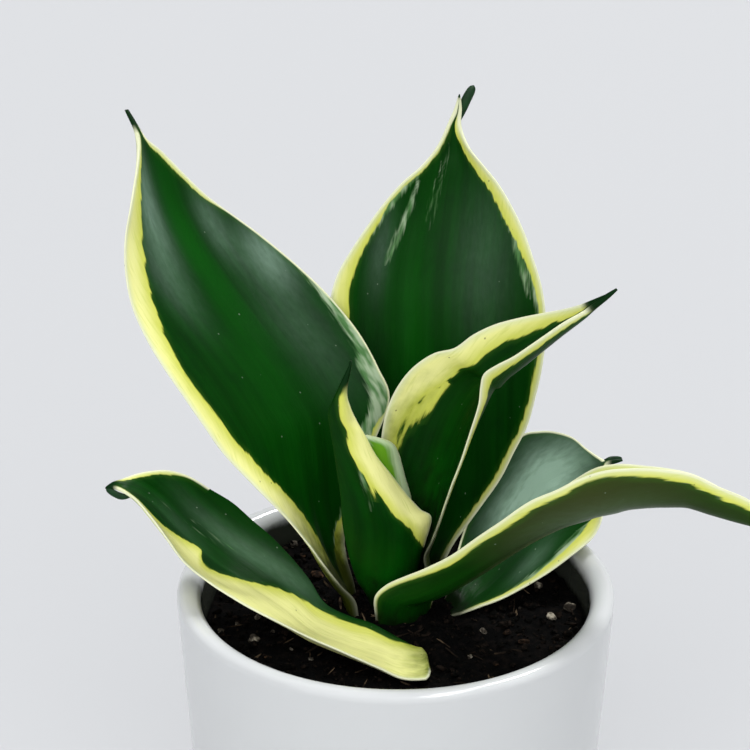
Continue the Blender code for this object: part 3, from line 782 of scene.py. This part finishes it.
def grow_leaf(index, name, facts, settings, material):
    """One leaf: a tube of faces round the blade's section, closed at both ends."""
    blade = Blade(index, **facts)
    thickness, edge = settings.thickness / MM, settings.edge / MM
    rows, columns = settings.rows, settings.columns

    def place(row, column):
        return TOP + blade.point(blade.spans * row, column % 1.0, thickness, edge) * MM

    piece = shaped_grid("blade_" + name, rows, columns, place)
    mesh = piece.data
    blade_map = mesh.uv_layers[0]
    blade_map.name = "blade"
    length = blade.along(blade.spans)
    look = VARIEGATION[name]
    zones, growth, spots = [], [], []
    painted_sheen, lit_green, peat = [], [], []
    for i in range(len(mesh.vertices)):
        row, column = divmod(i, columns + 1)
        station = blade.spans * row / rows
        side = -math.cos(2 * math.pi * column / columns)
        inner = column <= columns / 2
        facing = inner != look.get("outer_shows", False)
        width = blade.arc(station)
        distance = blade.along(station)
        percent = 100 * distance / length
        offset = side / 2 * width
        from_left, from_right = width / 2 + offset, width / 2 - offset
        margin_left = profile(look["left"], percent)
        margin_right = profile(
            look["right"] if inner else look.get("back_right", look["right"]), percent)
        band = max((margin_left or NO_MARGIN) - from_left, (margin_right or NO_MARGIN) - from_right)
        strip_left = profile(look.get("pale_left", UNMARKED), percent)
        strip_right = profile(look.get("pale_right", UNMARKED), percent)
        pale = max(min(margin_left + strip_left - from_left, strip_left),
                   min(margin_right + strip_right - from_right, strip_right)) - 0.6
        if facing:
            for part, streak, away in passing(look.get("streaks", ()), percent, offset):
                pale = max(pale, streak * (0.4 + 2 * part * (1 - part)) - away)
            for part, finger, away in passing(look.get("fingers", ()), percent, offset):
                band = max(band, finger * (1 - part) ** 0.7 - away)
        bare = [BARE_EDGE if margin <= 0 else 0.0 for margin in (margin_left, margin_right)]
        zones += [band, pale, min(from_left + bare[0], from_right + bare[1])]
        to_tip = blade.spans - station
        growth += [min(1.0, max(0.0, 2 * (look.get("point", 1.2) - to_tip / SPINE_SPANS))),
                   1.0 if look.get("young") else 0.0,
                   0.0 if inner else profile(look.get("olive", UNMARKED), percent)]
        # Patches of painted sheen, and patches of green painted brighter where the light falls.
        painted_sheen.append(patches(look.get("sheen_patches", ()), percent, offset))
        lit_green.append(patches(look.get("lit_green", ()), percent, offset) if facing else 0.0)
        # The base's peat stain and painted shade clear between these percents.
        low, high = look.get("peat", (3, 24))
        peat.append(min(1.0, max(0.0, (high - percent) / (high - low))))
        # The two faces and the eight leaves each have their own part of the map.
        spots.append((offset / 100 + (0.0 if inner else 3.0), (distance + 300 * index) / 100))
    record(mesh, "zones", zones, "FLOAT_VECTOR", "vector")
    record(mesh, "growth", growth, "FLOAT_VECTOR", "vector")
    record(mesh, "painted_sheen", painted_sheen)
    record(mesh, "lit_green", lit_green)
    record(mesh, "peat", peat)
    for loop in mesh.loops:
        blade_map.data[loop.index].uv = spots[loop.vertex_index]
    close_up(piece)
    finish_piece(piece, "leaf", material, "leaf_" + name)


def grow_spine(name, root, middle, tip, radius):
    """A curved, tapering point with a blunt end."""
    line = [Vector(v) for v in (root, middle, tip)]

    def place(row, column):
        along = (smooth_value(line, min(row * 2 + 0.01, 2)) -
                 smooth_value(line, max(row * 2 - 0.01, 0))).normalized()
        aside = along.cross(Vector((0, 1, 0))).normalized()
        ahead = aside.cross(along)
        angle = 2 * math.pi * (column % 1.0)
        girth = (radius * (0.1 + 0.9 * math.sin(math.pi / 2 * min(row / 0.55, 1)))
                 * math.sqrt(max(0.02, 1 - row ** 10)))
        spot = aside * math.cos(angle) * girth + ahead * math.sin(angle) * girth * 0.6
        return TOP + (smooth_value(line, row * 2) + spot) * MM

    piece = shaped_grid("spine_" + name, 24, 16, place)
    close_up(piece)
    return piece


# ------------------------------------------------------------------ pot and mix
def throw_pot(settings):
    """Raised from a cylinder: flared, hollowed, then rounded at the lip, foot and floor."""
    rest()
    bpy.ops.mesh.primitive_cylinder_add(
        vertices=192, radius=settings.base_radius, depth=POT_HEIGHT,
        location=(0, 0, POT_HEIGHT / 2))
    piece = named("glazed_pot")
    bpy.ops.object.transform_apply(location=True, rotation=True, scale=True)
    bpy.ops.object.mode_set(mode="EDIT")
    high = POT_HEIGHT - HAIR
    flare = RIM_RADIUS / settings.base_radius
    pick(piece, "FACE", lambda centre, normal: centre.z > high)
    bpy.ops.transform.resize(value=(flare, flare, 1))
    bpy.ops.mesh.inset(thickness=settings.wall)
    bpy.ops.mesh.extrude_region_move(
        TRANSFORM_OT_translate={"value": (0, 0, POT_FLOOR - POT_HEIGHT)})
    shrink = (settings.base_radius - settings.wall) / (RIM_RADIUS - settings.wall)
    bpy.ops.transform.resize(value=(shrink, shrink, 1), center_override=(0, 0, POT_FLOOR))
    wall_middle = RIM_RADIUS - settings.wall / 2
    rounds = (
        (lambda p: p.z > high and p.xy.length > wall_middle, LIP_OUTER),
        (lambda p: p.z > high and p.xy.length < wall_middle, LIP_INNER),
        (lambda p: p.z < HAIR, FOOT_ROUND),
        (lambda p: abs(p.z - POT_FLOOR) < HAIR and p.xy.length < settings.base_radius - 1 * MM,
         FLOOR_ROUND),
    )
    for test, (width, segments) in rounds:
        pick(piece, "EDGE", test)
        bpy.ops.mesh.bevel(offset=width, segments=segments, profile=0.5, affect="EDGES")
    rest()
    piece.select_set(True)
    bpy.context.view_layer.objects.active = piece
    bpy.ops.object.shade_smooth_by_angle(angle=math.radians(40))
    return piece


def mix_height(x, y):
    """Height of the potting mix in millimetres over its mean level."""
    spot = Vector((x, y, 0)) / MM
    lumps = 1.2 * noise.noise(spot / 11) + 0.9 * noise.noise(spot / 4 + Vector((9, 0, 0)))
    crumbs = 0.5 * noise.noise(spot / 1.6 + Vector((0, 31, 0)))
    # It is heaped round the crown and pressed down under the low front leaf.
    crown = 2.4 * math.exp(-((x / MM - 2) / 17) ** 2 - ((y / MM - 3) / 13) ** 2)
    dent = 2.2 * math.exp(-((x / MM + 2) / 20) ** 2 - ((y / MM + 27) / 13) ** 2)
    return lumps + crumbs - 0.5 + crown - dent


def fill_mix():
    """The mix as one lumpy body inside the pot, clear of its wall."""
    floor = MIX_BOX[0][2]
    brim = MIX_RADIUS - 0.2 * MM
    foot = 43 * MM
    # Radius and height of the body's corners, from the middle of its floor up to the brim.
    corners = [(0, floor), (foot / 2, floor), (foot, floor), (48.2 * MM, floor + 5 * MM),
               (49.7 * MM, floor + 35 * MM), (50.9 * MM, floor + 60 * MM),
               (brim, MIX_TOP - 2.5 * MM)]
    side_rows = len(corners) - 1
    rows, columns = 84, 260

    def place(row, column):
        angle = 2 * math.pi * (column % 1.0)
        line = round(row * rows)
        if line <= side_rows:
            radius, height = corners[line]
            return Vector((radius * math.cos(angle), radius * math.sin(angle), height))
        reach = 1 - (line - side_rows) / (rows - side_rows)
        radius = brim * reach
        x, y = radius * math.cos(angle), radius * math.sin(angle)
        return Vector((x, y, MIX_TOP + mix_height(x, y) * MM))

    piece = shaped_grid("loose_mix", rows, columns, place)
    close_up(piece)
    return piece


def lump(rng, ball, roughness):
    """Points of one rough lump, about one unit across, made from those of a ball."""
    offset = Vector((rng.uniform(0, 50), rng.uniform(0, 50), rng.uniform(0, 50)))
    return [co * (1 + roughness * noise.noise(co * 2.2 + offset)) for co in ball]


def ico_shape(subdivisions):
    """Points and faces of an icosphere one unit across."""
    rest()
    bpy.ops.mesh.primitive_ico_sphere_add(subdivisions=subdivisions, radius=0.5)
    ball = bpy.context.object
    verts = [v.co.copy() for v in ball.data.vertices]
    faces = [tuple(f.vertices) for f in ball.data.polygons]
    bpy.ops.object.delete()
    return verts, faces


def lump_heap(name, spots, subdivisions, roughness, seed):
    """Many lumps in one mesh; each spot is (centre, sizes, turn)."""
    rng = random.Random(seed)
    ball, ball_faces = ico_shape(subdivisions)
    verts, faces = [], []
    for centre, sizes, turn in spots:
        start = len(verts)
        spin = turn.to_matrix()
        for point in lump(rng, ball, roughness):
            verts.append(spin @ Vector([c * s for c, s in zip(point, sizes)]) + centre)
        faces += [tuple(i + start for i in face) for face in ball_faces]
    mesh = bpy.data.meshes.new(name)
    mesh.from_pydata(verts, [], faces)
    mesh.update()
    piece = bpy.data.objects.new(name, mesh)
    bpy.context.scene.collection.objects.link(piece)
    return piece


def crumb_spots(rng, count, small, large):
    """Crumbs strewn over the mix, half sunk in it."""
    spots = []
    while len(spots) < count:
        reach = MIX_RADIUS * math.sqrt(rng.random())
        angle = rng.uniform(0, 2 * math.pi)
        size = small + (large - small) * rng.random() ** 3
        if reach > MIX_RADIUS - size * 0.7:
            continue
        x, y = reach * math.cos(angle), reach * math.sin(angle)
        z = MIX_TOP + mix_height(x, y) * MM + size * 0.12
        sizes = (size, size * rng.uniform(0.5, 0.95), size * rng.uniform(0.4, 0.8))
        turn = Euler((rng.uniform(-0.6, 0.6), rng.uniform(-0.6, 0.6), rng.uniform(0, 6.3)))
        spots.append((Vector((x, y, z)), sizes, turn))
    return spots


def chip_spots(kind, nodes):
    """A chip over the middle of each CAD chip, sunk into the mix; sizes and headings vary."""
    spots = []
    for index, node in enumerate(nodes, 1):
        low, high = (Vector(corner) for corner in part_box(node))
        middle, size = (low + high) / 2, high - low
        longest = max(size.x, size.y) * (0.72 + 0.3 * math.cos(index * 3.7))
        heading = 0.0 if size.x > size.y else math.pi / 2
        heading += 0.5 * math.sin(index * 2.1)
        sizes = [longest * part for part in CHIP_SHAPES[kind]]
        middle.z = MIX_TOP + mix_height(middle.x, middle.y) * MM + sizes[2] * 0.3
        spots.append((middle, sizes, Euler((0.25 * math.sin(index), 0.2, heading))))
    return spots


# ------------------------------------------------------------------ stage
def hang(data, location):
    """Put a light or a camera into the scene."""
    holder = bpy.data.objects.new(data.name, data)
    holder.location = location
    bpy.context.scene.collection.objects.link(holder)
    return holder


def add_light(name, location, spread, strength):
    """A broad, even light from the side that location lies on; spread is in degrees."""
    data = bpy.data.lights.new(name, "SUN")
    data.angle = math.radians(spread)
    data.energy = strength
    aim = Vector(LIT_SPOT) - Vector(location)
    hang(data, location).rotation_euler = aim.to_track_quat("-Z", "Y").to_euler()


def add_strip(name, location, size, power):
    """A long softbox facing down that only shows as a highlight in glossy skins."""
    data = bpy.data.lights.new(name, "AREA")
    data.shape = "RECTANGLE"
    data.size, data.size_y = size
    data.energy = power
    hang(data, location).visible_diffuse = False


def studio_material():
    """Matt painted board, pale and even."""
    material, shader = new_material("matt_studio_board")
    shader.inputs["Base Color"].default_value = linear("#bfc0c2")
    shader.inputs["Roughness"].default_value = 0.9
    return material


# ------------------------------------------------------------------ operators
class PLANT_OT_throw_pot(bpy.types.Operator):
    """Make the white glazed pot"""
    bl_idname = "plant.throw_pot"
    bl_label = "Throw Pot"

    def execute(self, context):
        settings = context.scene.plant_pot
        finish_piece(throw_pot(settings), "glaze", glaze_material(settings), "pot")
        return {"FINISHED"}


class PLANT_OT_fill_mix(bpy.types.Operator):
    """Fill the pot with potting mix and strew crumbs on it"""
    bl_idname = "plant.fill_mix"
    bl_label = "Fill Potting Mix"

    def execute(self, context):
        settings = context.scene.plant_mix
        peat = mix_material("moist_peat", "#030303", "#100c0a", 2.0 * MM)
        crumb_peat = mix_material("peat_crumbs", "#040403", "#241c17", 1.6 * MM)
        finish_piece(fill_mix(), "potting_mix", peat, "potting_mix")
        rng = random.Random(settings.seed)
        spots = crumb_spots(rng, settings.crumbs, *CRUMB_SIZES)
        crumbs = lump_heap("mix_crumbs", spots, 1, 0.7, settings.seed)
        finish_piece(crumbs, "potting_mix", crumb_peat)
        return {"FINISHED"}


class PLANT_OT_lay_chips(bpy.types.Operator):
    """Lay perlite and bark on the potting mix"""
    bl_idname = "plant.lay_chips"
    bl_label = "Lay Chips"

    def execute(self, context):
        perlite = mix_material("stained_perlite", "#38332d", "#b5ac9a", 2.2 * MM)
        bark = mix_material("pine_bark", "#1a130e", "#5a4330", 2.2 * MM)
        for kind, skin in (("perlite", perlite), ("bark", bark)):
            count = CHIP_COUNTS[kind]
            nodes = [f"{kind}_chip_{i:02d}" for i in range(1, count + 1)]
            heap = lump_heap(kind + "_lumps", chip_spots(kind, nodes), 3, 0.6, count)
            finish_piece(heap, kind, skin, *nodes)
        # Slivers of coir and bark lie about on the mix; none crosses its border.
        rng = random.Random(SLIVER_SEED)
        slivers = []
        for centre, _, turn in crumb_spots(rng, SLIVERS, 1.5 * MM, 2.0 * MM):
            length = rng.uniform(*SLIVER_LENGTHS) * MM
            if centre.xy.length + length / 2 < MIX_RADIUS:
                width = rng.uniform(*SLIVER_WIDTHS) * MM
                slivers.append((centre, (length, width, 0.35 * MM), turn))
        coir = mix_material("dry_coir", "#1d1712", "#6e5d48", 5.0 * MM)
        finish_piece(lump_heap("coir_slivers", slivers, 2, 0.7, 5), "potting_mix", coir)
        return {"FINISHED"}


class PLANT_OT_grow_leaves(bpy.types.Operator):
    """Grow the eight leaves"""
    bl_idname = "plant.grow_leaves"
    bl_label = "Grow Leaves"

    def execute(self, context):
        settings = context.scene.plant_leaves
        skin = leaf_material()
        for index, (name, facts) in enumerate(LEAVES.items()):
            grow_leaf(index, name, facts, settings, skin)
        return {"FINISHED"}


class PLANT_OT_add_spines(bpy.types.Operator):
    """Add the dry points at the leaf tips"""
    bl_idname = "plant.add_spines"
    bl_label = "Add Spines"

    def execute(self, context):
        skin = spine_material()
        for name, (root, middle, tip, radius) in SPINES.items():
            finish_piece(grow_spine(name, root, middle, tip, radius), "leaf", skin)
        return {"FINISHED"}


class PLANT_OT_set_stage(bpy.types.Operator):
    """Set the floor, the soft lights and the camera"""
    bl_idname = "plant.set_stage"
    bl_label = "Set Stage"

    def execute(self, context):
        settings = context.scene.plant_stage
        scene = context.scene
        board = studio_material()
        rest()
        bpy.ops.mesh.primitive_circle_add(vertices=128, radius=FLOOR_RADIUS, fill_type="NGON",
                                          location=(0, 0, -FLOOR_DROP))
        floor = named("studio_floor")
        floor.data.materials.append(board)
        world = bpy.data.worlds.new("studio_air")
        scene.world = world
        world.use_nodes = True
        background = world.node_tree.nodes["Background"]
        background.inputs["Color"].default_value = linear("#eef0f3")
        background.inputs["Strength"].default_value = AIR_STRENGTH
        add_light("overhead_softbox", KEY_PLACE, KEY_SPREAD, settings.key)
        add_light("front_softbox", FILL_PLACE, FILL_SPREAD, settings.fill)
        add_strip("lip_softbox", STRIP_PLACE, STRIP_SIZE, STRIP_POWER)
        view = bpy.data.cameras.new("view")
        view.lens = CAMERA_LENS
        view.sensor_width = CAMERA_SENSOR
        view.clip_start = CAMERA_NEAR
        camera = hang(view, CAMERA_PLACE)
        camera.rotation_euler = (math.radians(CAMERA_TILT), 0, 0)
        scene.camera = camera
        scene.view_settings.view_transform = "Standard"
        return {"FINISHED"}


class PLANT_PT_build(bpy.types.Panel):
    bl_label = "Snake Plant"
    bl_idname = "PLANT_PT_build"
    bl_space_type = "VIEW_3D"
    bl_region_type = "UI"
    bl_category = "Snake Plant"

    def draw(self, context):
        column = self.layout.column(align=True)
        for operator in OPERATORS:
            column.operator(operator.bl_idname)


SETTINGS = {
    "plant_pot": PotSettings,
    "plant_leaves": LeafSettings,
    "plant_mix": MixSettings,
    "plant_stage": StageSettings,
}
OPERATORS = (PLANT_OT_throw_pot, PLANT_OT_fill_mix, PLANT_OT_lay_chips, PLANT_OT_grow_leaves,
             PLANT_OT_add_spines, PLANT_OT_set_stage)


def register():
    for group in SETTINGS.values():
        bpy.utils.register_class(group)
    for name, group in SETTINGS.items():
        setattr(bpy.types.Scene, name, bpy.props.PointerProperty(type=group))
    for operator in OPERATORS:
        bpy.utils.register_class(operator)
    bpy.utils.register_class(PLANT_PT_build)


def unregister():
    bpy.utils.unregister_class(PLANT_PT_build)
    for operator in reversed(OPERATORS):
        bpy.utils.unregister_class(operator)
    for name, group in SETTINGS.items():
        delattr(bpy.types.Scene, name)
        bpy.utils.unregister_class(group)


def main():
    register()
    bpy.ops.plant.throw_pot()
    bpy.ops.plant.fill_mix()
    bpy.ops.plant.lay_chips()
    bpy.ops.plant.grow_leaves()
    bpy.ops.plant.add_spines()
    bpy.ops.plant.set_stage()


if __name__ == "__main__":
    main()
